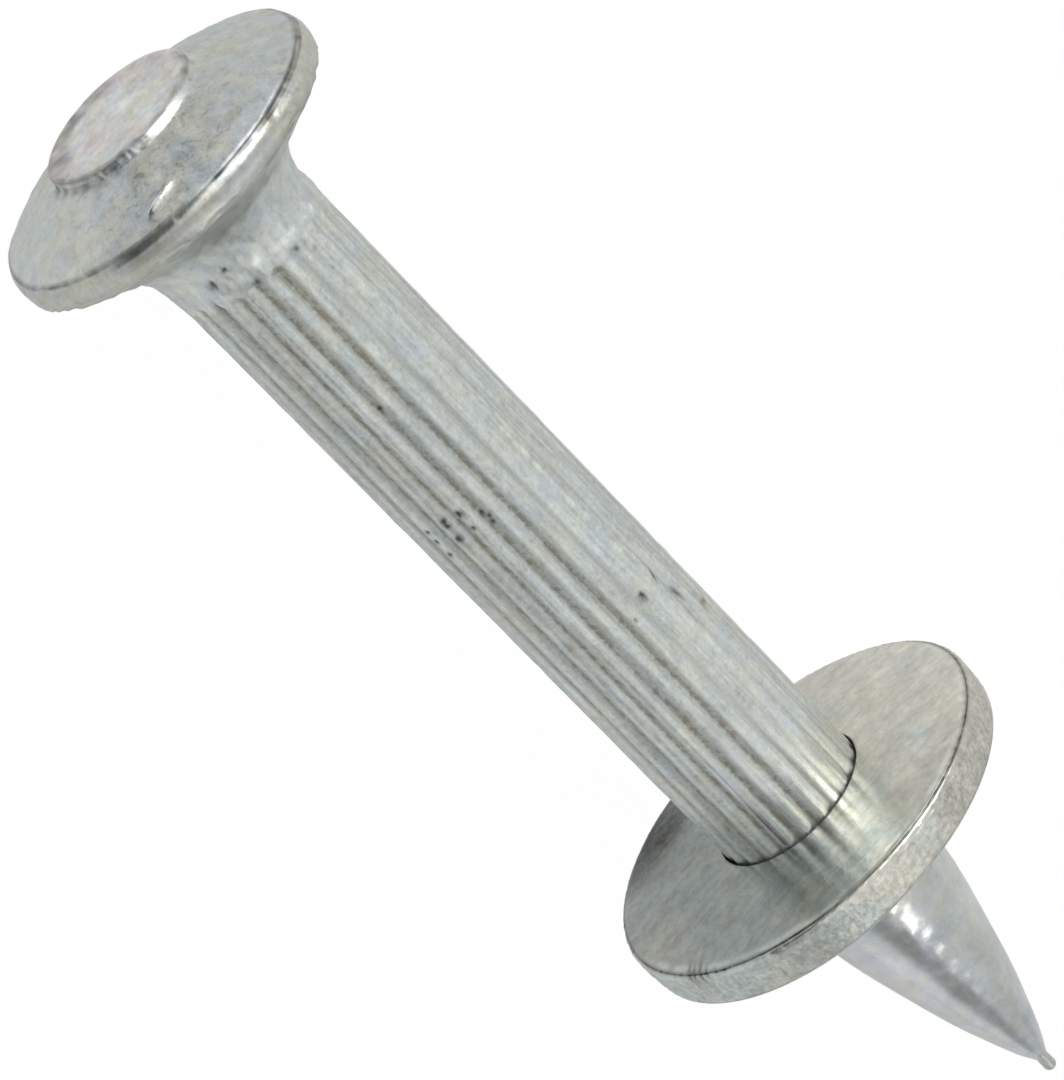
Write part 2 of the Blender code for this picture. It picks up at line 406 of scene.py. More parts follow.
# Pits in the plating: angle in degrees, height and half width in millimetres
PITS = (
    (24.4, 13.66, 0.11), (24, 14.22, 0.07), (37, 13.62, 0.11), (37.6, 13.78, 0.09),
    (38, 14.27, 0.11), (54.8, 13.74, 0.07), (55.5, 14.12, 0.08), (54.5, 14.64, 0.08),
    (12.8, 14.02, 0.07), (10, 14.2, 0.07), (11.6, 14.4, 0.08), (-25.3, 19.03, 0.14),
    (-10.5, 19.28, 0.05), (13, 9.95, 0.08), (20.7, 4.27, 0.08), (34, 4.46, 0.13),
)
# Slanted scratches and dark notches: angle, height, half width, half length and slant in degrees
# The three dark notches near 5.1 mm, at the starts of grooves, are painted shade
SCRATCHES = (
    (-44.6, 18.98, 0.065, 0.2, -24), (-49.3, 19.9, 0.06, 0.28, 10), (11.5, 5.09, 0.1, 0.12, 0),
    (-21.5, 5.23, 0.09, 0.09, 0), (44.4, 5.11, 0.07, 0.2, 0), (52, 6.6, 0.03, 0.3, 4),
    (-12, 7.5, 0.05, 0.14, 8),
)
# Brown spots: angle, height, half width, half length and strength
STAINS = (
    (-64.5, 20.89, 0.2, 0.13, 1), (6.5, 23.6, 0.1, 0.22, 0.4), (22.5, 20.6, 0.12, 0.16, 0.5),
    (22.8, 21.3, 0.1, 0.14, 0.4), (24.5, 16.2, 0.11, 0.14, 0.5), (12, 22.3, 0.12, 0.22, 0.5),
    (36, 18.8, 0.1, 0.16, 0.4), (14.4, 8.9, 0.08, 0.25, 0.4), (30, 7.4, 0.07, 0.3, 0.4),
)
# Belts of close rows, where the pits are: lowest and highest height in millimetres, and rows
PIT_BELTS = ((9.85, 10.05, 3), (13.4, 14.76, 21), (18.76, 20.06, 17), (20.76, 21.02, 3))


def flutes(skin, pin, marks):
    """Depth of the grooves, how deep the dusting and painted shade lie in them, and the crests between,
    both 0 to 1.

    Between two groove lines u runs from 1 to 0 at the ridge and back to 1. The depth is the smaller of
    depth * u^1.7 and a ramp that falls from the groove's start, which is later toward the ridge. The
    darkening lies a little to one side of each groove line, so that it is partly dusting and partly
    painted shade on that flank.
    """
    rng = np.random.default_rng(5)
    seen, first, deep, dust_and_shade_seen = np.array(GROOVES_IN_VIEW).T
    seen = np.radians(seen)
    hidden = pin.flute_count - len(seen)
    spread = np.linspace(seen[-1], seen[0] + TURN, hidden + 2)[1:-1]
    spread = spread + rng.uniform(-1, 1, hidden) * math.radians(1.2)
    lines = np.concatenate((seen, spread))
    starts = np.concatenate((first * MM, marks["neck"] + rng.uniform(0.6, 1.1, hidden) * MM))
    depths = pin.flute_depth * rng.uniform(0.95, 1.2, len(lines))
    dust_and_shade_amount = rng.uniform(0.4, 0.9, len(lines))
    depths[:len(seen)] *= deep
    dust_and_shade_amount[:len(seen)] = dust_and_shade_seen

    wander = 0.003 * np.sin(skin.height / (2.1 * MM)) * np.sin(3 * skin.angle + 1)
    angle = (skin.angle + wander - lines[0]) % TURN
    marks_round = np.append(lines - lines[0], TURN)
    place = np.interp(angle, marks_round, np.arange(len(marks_round)))
    groove = np.round(place).astype(int) % len(lines)
    into = np.abs(2 * (place - np.floor(place)) - 1)
    full = depths[groove] * into**1.7
    beyond = skin.height - starts[groove] - 0.16 * MM * (1 - into)
    beyond = np.minimum(beyond, marks["point"] - 0.4 * MM - skin.height)
    ramp = 0.42 * (beyond + np.sqrt(beyond**2 + (0.045 * MM) ** 2))
    blend = 0.026 * MM
    depth = 0.5 * (full + ramp - np.sqrt((full - ramp) ** 2 + blend**2))
    depth = np.maximum(depth, 0)
    dusting_and_shade = np.abs(2 * ((place + 0.1) % 1) - 1)
    started = np.clip(4 * ramp / pin.flute_depth, 0, 1)
    return depth, rise(dusting_and_shade, 0.3, 0.88) * dust_and_shade_amount[groove] * started, 1 - rise(into, 0.12, 0.5)


def shape_pin(skin, pin, marks):
    """Reliefs of the forged head, the rolled shank and the point, and the masks of its finish and of its
    painted light and shade.

    Heights, widths and reliefs are in millimetres here, and angles in degrees.
    """
    local = skin.local() / MM
    angle = np.degrees(around(skin.angle, 0))
    height = skin.height / MM
    facing = partial(window, angle)
    belt = partial(window, height)
    relief = np.zeros_like(height)
    crease = marks["crease"] / MM
    neck = marks["neck"] / MM
    point = marks["point"] / MM

    depth, dusting_and_shade, ridge = flutes(skin, pin, marks)
    skin.sink += depth

    broad = unevenness(local, 1.7, 11)
    middle = unevenness(local, 0.55, 12)
    close = unevenness(local, 0.24, 13)
    button = 1 - rise(height, 0.14, 0.4)
    boss = 1 - rise(height, 0.1, 0.16)
    flange = belt(0.34, crease - 0.03, 0.04)
    lip = belt(crease, marks["lip_low"] / MM, 0.05)
    collar = belt(marks["lip_low"] / MM, neck + 0.5, 0.15)
    wall = belt(0.16, 0.36, 0.03)
    tip = rise(height, point - 0.3, point + 0.2)

    relief += 0.012 * broad * flange + 0.0065 * middle * flange + 0.003 * close * flange
    across = np.minimum(skin.distance / pin.boss_radius, 1)
    relief += 0.075 * across * (across - np.cos(skin.angle)) * button
    relief += np.minimum(0.006 * (broad - 1) + 0.0015 * (middle - 0.5) - 0.003, -0.003) * boss
    skin.shift += MM * 0.09 * (1 - rise(height, 0.12, 0.5))
    skin.shift += MM * 0.045 * belt(3.7, 4.4, 1)
    outer = rise(skin.distance / MM, 3, 4.6) * (1 - rise(height, crease + 0.8, crease + 1.4))
    skin.height -= MM * 0.065 * facing(100, 145, 25) * outer
    low_lip = rise(height, crease + 0.22, crease + 0.4)
    relief += 0.012 * (broad - 1.2) * lip + (0.001 + 0.003 * low_lip) * (middle - 1) * lip
    relief += 0.014 * broad * collar + 0.02 * middle * collar + 0.0055 * close * collar
    body = rise(height, neck + 0.3, neck + 0.9) * (1 - tip)
    skin.sink += MM * (0.018 + 0.003 * middle) * body
    ring = np.stack((np.cos(skin.angle), np.sin(skin.angle), skin.height / (9 * MM)), -1)
    ribs = unevenness(ring, 0.075, 15, 64) + 0.6 * unevenness(ring, 0.04, 16, 64)
    skin.sink += MM * 0.0042 * (ribs + 1.5) * body
    long_waves = local * np.array((1, 1, 3))
    relief += 0.0036 * unevenness(long_waves, 1.1, 14) * tip
    rings = np.sin(TURN * height / 0.34 + 0.5 * middle + broad + np.abs(angle + 5) / 6)
    relief += 0.0125 * rings * tip * facing(-20, 8, 10) * belt(30, 36.6, 1)
    skin.shift -= MM * 0.06 * rise(height, point, point + 2.5)
    waisted = np.exp(-(((height - 34.1) / 1.7) ** 2))
    fuller = np.exp(-(((height - 37.9) / 0.75) ** 2))
    skin.sink += MM * (0.065 * waisted - 0.045 * fuller) * tip
    glint = skin.spot(2, 4.62, 0.16, 0.1, turn=20) + skin.spot(-52, 4.95, 0.1, 0.09)
    relief += 0.028 * glint

    chatter = np.sin(TURN * angle / 7 + 2 * middle + 1.5 * broad) * facing(4, 36, 10)
    relief += 0.006 * chatter * wall
    combed = np.stack((np.cos(skin.angle), np.sin(skin.angle), skin.height / (7 * MM)), -1)
    relief += 0.0035 * unevenness(combed, 0.06, 17, 64) * belt(0.42, 0.75, 0.15)
    # Painted shade: dark lines at the boss's edge, its far rim and the foot of its wall
    boss_line = belt(0.09, 0.19, 0.03) * facing(-88, 92, 12)
    far_line = belt(0.05, 0.125, 0.02) * (1 - rise(np.cos(skin.angle + 0.75), -0.75, -0.35))
    foot_line = belt(0.27, 0.4, 0.05) * facing(28, 88, 14)

    fold = skin.spot(12, 1.036, 0.9, 0.14, 25, 0.5)
    fold_low = skin.spot(7, 1.18, 0.46, 0.08, turn=6)
    relief += 0.125 * fold + 0.036 * fold_low
    # Painted shade under the crease, wider at negative angles
    rightward = facing(-110, -28, 22)
    under_crease = belt(crease - 0.012, crease + 0.04 + 0.07 * rightward, 0.045)
    narrowing = np.clip((24 - angle) / 28, 0, 1)
    # A near-black wedge under the crease in front, a painted dark reflection, with a light tick left out of
    # it
    wedge = facing(2, 27, 12) * belt(crease + 0.02, crease + 0.15 - 0.12 * narrowing, 0.09)
    tick = skin.spot(10.3, crease + 0.12, 0.035, 0.14)
    nick = skin.spot(-34, crease + 0.16, 0.12, 0.1)
    relief += 0.02 * tick - 0.035 * nick
    strip_end = rise(angle, -34, -31.5) * (1 - rise(angle, -14, -4))
    relief -= 0.05 * (1 - strip_end) * (1 - low_lip) * lip * facing(-60, -36, 14)

    pits_and_shade = np.zeros_like(height)
    ragged = 1 + 0.36 * unevenness(local, 0.16, 31, 24)
    for place, level, half in PITS:
        mark = np.clip(1.35 * skin.spot(place, level, 0.85 * half, half) * ragged, 0, 1)
        relief -= 0.03 * mark
        pits_and_shade = np.maximum(pits_and_shade, mark)
    for place, level, across, along, slant in SCRATCHES:
        mark = skin.spot(place, level, across, along, slant)
        relief -= 0.02 * mark
        pits_and_shade = np.maximum(pits_and_shade, 0.85 * mark)
    brown = np.zeros_like(height)
    for place, level, across, along, strength in STAINS:
        mark = skin.spot(place, level, across, along) * (0.85 + 0.3 * close)
        brown = np.maximum(brown, strength * mark)
    # The dark lines at the boss and under the crease are painted shade, joined below with the real pits and
    # scratches
    lines = np.maximum(0.4 * boss_line * (1 + 0.4 * middle), 0.34 * foot_line * (1 + middle))
    lines = np.maximum(lines, 0.42 * far_line * (1 + 0.4 * middle))
    front = 1 + 0.35 * facing(-34, 0, 8)
    lines = np.maximum(lines, 0.47 * under_crease * (front + 0.4 * middle + 0.2 * close))
    # Painted shade on the lip's crest and in a band under the lip
    crest_band = belt(crease + 0.3, crease + 0.42, 0.08) * facing(-34, 26, 12)
    under = belt(2.25, 3.15, 0.4) * facing(-55, 60, 25)
    lines = np.maximum.reduce((lines, 0.26 * crest_band, 0.26 * under * (1 + 0.3 * middle)))
    pits_and_shade = np.maximum.reduce((pits_and_shade, 0.74 * wedge * (1 - tick), lines))

    shiny_wall = facing(-50, -9, 5) - 0.8 * facing(-25, -22, 2)
    wall_gloss = wall * (0.1 + 0.56 * shiny_wall + 0.25 * facing(4, 36, 8))
    # The forged darkening is weaker on the flange's sides, which paints those sides lighter, painted light
    sideways = np.sin(skin.angle) ** 2
    forged = np.maximum.reduce((flange * (1 - 0.7 * sideways), 0.3 * collar, 0.5 * lip, wall - wall_gloss))
    roll = 0.42 * lip * low_lip * facing(-14, 16, 12)
    above = WASHER_TOP / MM - height
    rubbed = 0.85 * ridge * window(above, -0.2, 2.6, 1.6) * facing(-42, 24, 8)
    strip = 0.34 * lip * strip_end * (1 - low_lip)
    polish = np.maximum.reduce((wall_gloss, strip, roll, rubbed, 0.9 * tip, 0.9 * glint, 2.2 * fold))
    nub = rise(height, PIN_LENGTH / MM - 0.75, PIN_LENGTH / MM - 0.45)
    polish *= 1 - nub
    # Painted light and shade about a middle of 0.5: the flange lighter at positive angles and darker in
    # front, a painted highlight on the lip's lower band, and a lighter nub
    shade = 0.5 + 0.1 * flange * facing(35, 130, 25) - 0.04 * flange * facing(-42, 12, 16)
    shade += 0.11 * lip * low_lip * facing(-22, 22, 14) + 0.15 * nub
    # Painted shade on the flange between 20 and 36 degrees and on the lip at negative angles
    shade -= 0.07 * flange * facing(20, 36, 10) + 0.06 * lip * facing(-80, -40, 12)
    # Painted shade on the point at negative angles, and a painted dark spot in the dark reflection on the
    # point
    shade -= tip * (0.06 * facing(-90, -24, 12) + 0.05 * skin.spot(15.5, 32.7, 0.16, 0.6))
    # The neck and the shank are painted lighter: the neck more at positive angles, the shank more toward
    # the point and at negative angles
    shade += collar * (0.13 * facing(22, 80, 16) + 0.03 * facing(-80, -14, 12))
    shade += body * (0.034 + 0.05 * rise(height, 16, 23) + 0.02 * facing(-90, -8, 8))
    # Painted highlights on the glint bumps and on the fold, the neck a little lighter, and painted shade on
    # the boss top at negative angles
    shade += 0.015 * collar + 0.42 * glint + 0.12 * fold
    shade -= 0.05 * boss * rise(-skin.distance * np.sin(skin.angle), 0, 1.5 * MM)
    # A painted highlight on the front of the neck
    shade += 0.07 * belt(4.25, 4.95, 0.25) * facing(-26, 20, 8) * (1 + 0.5 * middle)
    skin.relief += MM * relief
    return {
        "shade": shade,
        # Dusting and painted shade in the grooves, and on the nub
        "dust_and_shade": np.maximum(dusting_and_shade, 0.6 * nub),
        "pits_and_shade": pits_and_shade,
        "polish": polish,
        "forged": forged,
        "button": boss,
        "brown": brown,
    }


# The washer

FACE_ROWS = 64


def washer_section(washer):
    """Closed section of the washer: bore, domed face, rolled-over crease, rim and lower face."""
    top = WASHER_TOP
    bottom = top + washer.thickness
    bore = washer.bore_radius
    chamfer = 0.035 * MM
    crease = np.array((top + washer.roll_over, washer.radius - washer.rim_inset))
    share = np.linspace(0, 1, FACE_ROWS) ** 0.9
    face = np.stack((
        top + washer.roll_over * share**2.1,
        bore + chamfer + (crease[1] - bore - chamfer) * share,
    ), -1)
    shoulder = bend(
        crease + np.array((0.006, 0.004)) * MM,
        (crease[0] + 0.03 * MM, washer.radius - 0.03 * MM),
        (crease[0] + 0.16 * MM, washer.radius - 0.008 * MM),
        12,
    )
    low = np.array((bottom - washer.lower_round, washer.radius - 0.05 * MM))
    rim = bow(shoulder[-1], low, 0.01 * MM, 24)
    lower_edge = bend(low, (bottom - 0.02 * MM, low[1] - 0.02 * MM), (bottom, low[1] - 0.26 * MM), 12)
    lower_face = line(lower_edge[-1], (bottom, bore + chamfer), 36)
    bore_wall = line((bottom - chamfer, bore), (top + chamfer, bore), 14)
    return chain(face, shoulder, rim, lower_edge, lower_face, bore_wall)


def shape_washer(skin, washer):
    """Reliefs of the punched disc, the masks of its finish, and masks of painted light and shade."""
    local = skin.local() / MM
    depth = (skin.height - WASHER_TOP) / MM
    relief = np.zeros_like(depth)
    distance = skin.distance / MM
    radius = washer.radius / MM
    crease = radius - washer.rim_inset / MM
    rows = np.arange(len(skin.section))[:, None]
    on_face = (rows < FACE_ROWS).astype(float) * np.ones_like(depth)
    on_rim = window(depth, 0.26, 1.36, 0.05) * rise(distance, radius - 0.13, radius - 0.1)

    broad = unevenness(local, 2.6, 21)
    middle = unevenness(local, 0.7, 22)
    close = unevenness(local, 0.22, 23)
    fine = unevenness(local, 0.12, 24)
    relief += (0.004 * broad + 0.0008 * middle) * on_face
    relief += (0.004 * (middle - 1.5) + 0.0065 * (close - 1.5) + 0.0032 * (fine - 1.2)) * on_rim
    angle = np.degrees(around(skin.angle, 0))
    facing = partial(window, angle)
    groove = np.exp(-(((distance - crease) / 0.05) ** 2)) * window(depth, 0.15, 0.3, 0.03)
    relief -= 0.024 * groove * (1 + 0.25 * middle + 0.25 * close)
    strip = np.exp(-(((distance - crease + 0.17) / 0.1) ** 2)) * on_face
    relief += 0.007 * strip * (1 + 0.4 * middle)
    outward = np.clip((distance - 2.4) / (radius - 2.4), 0, 1) ** 2 * (1 - rise(depth, 0.35, 1.3))
    droop = 0.14 * np.exp(-((around(skin.angle, math.radians(-133)) / 0.8) ** 2))
    droop -= 0.04 * np.exp(-((around(skin.angle, math.radians(125)) / 0.7) ** 2))
    skin.height += MM * droop * outward
    skin.height += MM * 0.05 * facing(15, 75, 25) * rise(depth, 0.8, 1.4) * rise(distance, 3.5, 5)
    nicks = np.zeros_like(depth)
    below = (skin.path - skin.path[FACE_ROWS - 1]) / MM
    for place, reach in ((54.5, 0.2), (57, 0.4), (59.5, 0.28), (61.5, 0.34), (51, 0.12), (48, 0.1)):
        beside = around(skin.angle, math.radians(place)) * crease + 0.35 * below
        nicks = np.maximum(nicks, np.exp(-((beside / 0.07) ** 2) - (below / reach) ** 2))
    relief -= 0.05 * nicks
    burnish = window(distance, crease + 0.02, radius, 0.03) * window(depth, 0.2, 0.42, 0.05)
    # Painted shade: dark in the crease's groove and inside the bore, joined with the real nicks
    dark = np.maximum(0.85 * groove * (1 + 0.2 * close), nicks)
    bore = (distance < washer.bore_radius / MM + 0.02).astype(float)
    # Painted light: painted highlights on the strip inside the crease, a lighter face at negative angles,
    # and painted glints on the rim in front
    painted_light = 1.4 * strip * facing(12, 75, 14) * (0.8 + 0.3 * middle)
    painted_light = np.maximum(painted_light, 0.5 * facing(-168, -66, 28) * on_face)
    painted_light = np.maximum(painted_light, 0.9 * strip * facing(-75, -14, 10) * (0.8 + 0.5 * middle))
    painted_light = np.maximum(painted_light, (0.3 + 0.45 * np.maximum(close, 0)) * facing(-20, 10, 10) * on_rim)
    # Painted shade: a dark patch on the face's outer part near 141 degrees, a darker face at positive
    # angles, a little at negative angles, and some on the rim between -110 and -34 degrees
    painted_shade = 1.02 * np.exp(-((around(skin.angle, math.radians(141)) / 0.4) ** 2)) * rise(distance, 2.9, 5)
    painted_shade = np.maximum(painted_shade, 0.25 * facing(-6, 125, 28))
    painted_shade = np.maximum(painted_shade, 0.09 * facing(-150, -6, 20))
    skin.relief += MM * relief
    return {
        "rim": on_rim * (1 - burnish),
        "pits_and_shade": np.maximum(dark, 0.8 * bore),
        "polish": burnish,
        "painted_light": painted_light,
        "painted_shade": 0.8 * painted_shade * on_face + 0.12 * facing(-110, -34, 16) * on_rim,
    }


# Shader maths


class Socket:
    """A shader socket on which the signs of arithmetic add Math nodes."""

    def __init__(self, shader, socket):
        self.shader = shader
        self.socket = socket

    def maths(self, operation, *values):
        """Math node of one operation on the values."""
        settings = {"operation": operation}
        return self.shader.node("ShaderNodeMath", settings, dict(enumerate(values)))

    def __add__(self, other):
        return self.maths("ADD", self, other)

    def __radd__(self, other):
        return self.maths("ADD", other, self)

    def __sub__(self, other):
        return self.maths("SUBTRACT", self, other)

    def __rsub__(self, other):
        return self.maths("SUBTRACT", other, self)

    def __mul__(self, other):
        return self.maths("MULTIPLY", self, other)

    def __rmul__(self, other):
        return self.maths("MULTIPLY", other, self)


class Shader:
    """The node tree of one material or world."""

    def __init__(self, owner):
        owner.use_nodes = True
        self.tree = owner.node_tree
        self.tree.nodes.clear()

    def node(self, kind, settings=None, inputs=None, out=0):
        """Adds a node of a type: settings first, then its sockets' values or links."""
        made = self.tree.nodes.new(kind)
        for name, value in (settings or {}).items():
            setattr(made, name, value)
        for name, value in (inputs or {}).items():
            if isinstance(value, Socket):
                self.tree.links.new(value.socket, made.inputs[name])
            else:
                made.inputs[name].default_value = value
        return Socket(self, made.outputs[out]) if len(made.outputs) else made

    def mix(self, factor, first, second, way="MIX"):
        """Colour mix of two colours by a factor."""
        settings = {"data_type": "RGBA", "blend_type": way}
        return self.node("ShaderNodeMix", settings, {0: factor, 6: first, 7: second}, out=2)

    def noise(self, place, scale, detail=3, roughness=0.55):
        """Noise between 0 and 1 whose features are about 1 / scale wide."""
        inputs = {"Vector": place, "Scale": scale, "Detail": detail, "Roughness": roughness}
        return self.node("ShaderNodeTexNoise", None, inputs)

    def stretch(self, place, factors):
        """The place with each of its three numbers scaled."""
        return self.node("ShaderNodeVectorMath", {"operation": "MULTIPLY"}, {0: place, 1: factors})

    def aside(self, place, step, share):
        """The place plus a share of a step."""
        moved = self.node("ShaderNodeVectorMath", {"operation": "SCALE"}, {0: step, "Scale": share})
        return self.node("ShaderNodeVectorMath", {"operation": "ADD"}, {0: place, 1: moved})

    def ramp(self, value, low, high, to_low=0, to_high=1):
        """Smooth step of a value from low to high, given as a value from to_low to to_high."""
        inputs = {"Value": value, "From Min": low, "From Max": high, "To Min": to_low, "To Max": to_high}
        return self.node("ShaderNodeMapRange", {"interpolation_type": "SMOOTHSTEP"}, inputs)

    def toned(self, tint, tone):
        """The tint times a grey tone."""
        grey = self.node("ShaderNodeCombineColor", None, {0: tone, 1: tone, 2: tone})
        return self.mix(1, tint, grey, "MULTIPLY")

    def metal(self, colour, roughness, height, depth):
        """Metal surface of a colour and a roughness, with a bump of a depth."""
        inputs = {"Strength": 1, "Distance": depth, "Height": height}
        normal = self.node("ShaderNodeBump", None, inputs, out="Normal")
        inputs = {"Base Color": colour, "Metallic": 1, "Roughness": roughness, "Normal": normal}
        surface = self.node("ShaderNodeBsdfPrincipled", None, inputs)
        self.node("ShaderNodeOutputMaterial", None, {"Surface": surface})

    def mask(self, name):
        """One of the piece's own masks."""
        return self.node("ShaderNodeAttribute", {"attribute_name": name}, None, out="Fac")

    def along(self, place, direction):
        """Length of a vector along a direction."""
        inputs = {0: place, 1: tuple(direction)}
        return self.node("ShaderNodeVectorMath", {"operation": "DOT_PRODUCT"}, inputs, out="Value")


def rgba(colour):
    """The colour with full alpha."""
    return (*colour, 1)


def place_on_anchor(shader):
    """Object coordinates turned so that x is near, y is side and z runs down the pin."""
    turn = Matrix((NEAR, SIDE, AXIS)).transposed().to_euler()
    here = shader.node("ShaderNodeTexCoord", out="Object")
    inputs = {"Vector": here, "Location": tuple(CROWN), "Rotation": tuple(turn)}
    return shader.node("ShaderNodeMapping", {"vector_type": "TEXTURE"}, inputs)


def pin_zinc(zinc):
    """Zinc on rolled and forged steel: cloudy, streaked along the shank, dusted and painted darker in its
    grooves, and with painted light and shade from its masks.
    """
    material = bpy.data.materials.new("pin_zinc")
    shader = Shader(material)
    mix, noise, ramp = shader.mix, shader.noise, shader.ramp
    along, mask, stretch = shader.along, shader.mask, shader.stretch
    place = place_on_anchor(shader)
    names = ("dust_and_shade", "pits_and_shade", "polish", "forged", "button")
    dust_and_shade, pits_and_shade, polish, forged, button = (mask(name) for name in names)
    left = ramp(along(place, (0, 1, 0)), -1.2 * MM, 1.4 * MM)
    down = along(place, (0, 0, 1))
    # Noises of every size share a centre, which would show as a star in the middle of the button
    place = shader.aside(place, (0.0113, 0.0171, 0.0139), button)

    cloud = noise(place, 900, 5, 0.65)
    blotch = noise(place, 2600, 4, 0.65)
    mottle = noise(place, 5200, 3, 0.6)
    grain = noise(place, 9500, 2, 0.6)
    streak = noise(stretch(place, (1, 1, 0.06)), 7000, 3, 0.65)

    hue = noise(stretch(place, (1, 1, 0.3)), 3400, 3, 0.6)
    tint = mix(ramp(cloud + hue, 0.69, 1.31), rgba(zinc.cool), rgba(zinc.warm))
    # The point's left side is painted lighter and bluer, painted light
    left = left * ramp(down, 20 * MM, 28 * MM)
    bright = mix(left, rgba(zinc.bright), rgba(zinc.bright_left))
    tint = mix(polish * (0.55 + 0.4 * ramp(hue, 0.4, 0.6)), tint, bright)
    # The boss top is painted lighter than the rest, painted light; its pinkish and greenish patches are
    # plating tone
    wash = noise(place, 520, 2, 0.5)
    top = mix(ramp(wash, 0.4, 0.6), (0.815, 0.785, 0.78, 1), (0.772, 0.785, 0.738, 1))
    tint = mix(button, tint, top)
    tinge = noise(place, 1150, 3, 0.6)
    tinge = mix(ramp(tinge, 0.38, 0.62), (0.95, 0.97, 1.07, 1), (1.045, 1, 0.94, 1))
    tint = mix(0.35 + 0.55 * forged + 0.35 * button + 0.2 * polish, tint, tinge, "MULTIPLY")
    # The lip is tinted warmer, a painted warm reflection
    on_lip = ramp(down, 1.35 * MM, 1.5 * MM) * ramp(down, 2.9 * MM, 2.2 * MM)
    tint = mix(on_lip, tint, (1.035, 1, 0.955, 1), "MULTIPLY")
    rolled = (1 - forged) * (1 - polish) * ramp(down, 3.2 * MM, 4.8 * MM)
    patch = noise(place, 1500, 4, 0.7)
    plain = (1 - 0.8 * polish) * (1 - 0.25 * button)
    tone = 0.96 + plain * (0.54 * (blotch - 0.5) + 0.36 * (mottle - 0.5) + 0.34 * rolled * (grain - 0.5))
    tone = tone + 0.5 * (polish + button) * (wash - 0.5)
    tone = tone + (forged + 0.6 * button + 0.5 * polish) * 1.05 * (patch - 0.5)
    specks = ramp(noise(place, 3600, 2, 0.5), 0.58, 0.7)
    wide_streak = noise(stretch(place, (1, 1, 0.09)), 2700, 4, 0.65)
    tone = tone + rolled * (0.62 * (streak - 0.5) + 0.55 * (wide_streak - 0.5))
    # The shade mask paints light and shade: it lightens or darkens the tone about 0.5
    tone = tone - 0.22 * specks * (forged + 0.4 * button) + 1.2 * (mask("shade") - 0.5)
    tone = tone - forged * (0.28 * ramp(mottle, 0.5, 0.68) + 0.06)
    colour = shader.toned(tint, tone)
    # The brown-grey in the grooves and on the nub is partly dusting and partly painted shade
    dust_and_shade_amount = dust_and_shade * (0.2 + 0.44 * ramp(blotch + mottle, 0.9, 1.14))
    colour = mix(dust_and_shade_amount, colour, rgba(zinc.grime_and_shade))
    colour = mix(mask("brown") * 0.9, colour, rgba(zinc.stain))
    # Pits, and painted shade in creases and under the head
    colour = mix(pits_and_shade * 0.9, colour, rgba(zinc.pit_and_shade))

    dull = zinc.roughness + 0.2 * (blotch - 0.5) + 0.12 * (mottle - 0.5) + 0.18 * dust_and_shade
    roughness = dull - 0.26 * polish
    height = grain * (0.9 - 0.88 * polish - 0.5 * forged) + mottle * (1.5 - 1.42 * polish)
    height = height + rolled * streak * 0.7
    shader.metal(colour, roughness, height, 0.009 * MM)
    return material


def washer_zinc(zinc):
    """Zinc on punched sheet: a face brushed one way and a grainy rim, darkened and lightened by painted
    shade and light.
    """
    material = bpy.data.materials.new("washer_zinc")
    shader = Shader(material)
    mix, noise, ramp = shader.mix, shader.noise, shader.ramp
    place = place_on_anchor(shader)
    rim, pits_and_shade, polish = (shader.mask(name) for name in ("rim", "pits_and_shade", "polish"))

    cloud = noise(place, 700, 5, 0.6)
    blotch = noise(place, 2400, 4, 0.65)
    mottle = noise(place, 5000, 3, 0.6)
    grain = noise(place, 9000, 2, 0.6)
    inputs = {"Vector": place, "Rotation": (0, 0, math.radians(6))}
    lean = shader.node("ShaderNodeMapping", None, inputs)
    brushed = noise(shader.stretch(lean, (1, 0.035, 1)), 13000, 3, 0.7)
    wide_brush = noise(shader.stretch(lean, (1, 0.12, 1)), 2600, 4, 0.6)

    right = ramp(shader.along(place, (0, 1, 0)), 4 * MM, -4 * MM, -0.12, 0.12)
    tint = mix(ramp(cloud + right, 0.36, 0.64), rgba(zinc.washer_cool), rgba(zinc.washer_warm))
    face = (1 - rim) * (1 - polish)
    patch = noise(place, 1300, 4, 0.7)
    tone = 0.95 + 0.46 * (blotch - 0.5) + 0.34 * (mottle - 0.5) + (0.55 + 1.5 * right) * (patch - 0.5)
    # The face and rim are darkened by painted shade
    tone = tone + face * (0.34 * (wide_brush - 0.5) + 0.26 * (brushed - 0.5)) - 0.94 * shader.mask("painted_shade")
    # The painted light lightens the face and rim
    tone = tone + rim * (0.6 * (grain - 0.5) + 0.45 * (mottle - 0.5) - 0.04) + 0.3 * shader.mask("painted_light")
    colour = shader.toned(tint, tone)
    # Nicks, and painted shade in the crease and the bore
    colour = mix(pits_and_shade * 0.85, colour, rgba(zinc.pit_and_shade))

    roughness = zinc.washer_roughness + 0.16 * (blotch - 0.5) + 0.165 * rim
    height = brushed * face * 0.9 + (grain + mottle) * rim * 2 + 0.5 * grain + 0.4 * mottle
    shader.metal(colour, roughness, height, 0.008 * MM)
    return material


# The operators


class ANCHOR_OT_drive_pin(bpy.types.Operator):
    """Makes the drive pin: boss, flange, neck, fluted shank, point and nub"""

    bl_idname = "anchor.drive_pin"
    bl_label = "Drive pin"

    def execute(self, context):
        pin = context.scene.anchor_pin
        section, marks = pin_section(pin)
        skin = Turned(section, 16 * pin.flute_count)
        masks = shape_pin(skin, pin, marks)
        piece = skin.make("fluted_pin", masks)
        piece.data.materials.append(pin_zinc(context.scene.anchor_zinc))
        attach(piece, "root")
        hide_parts(PIN)
        return {"FINISHED"}


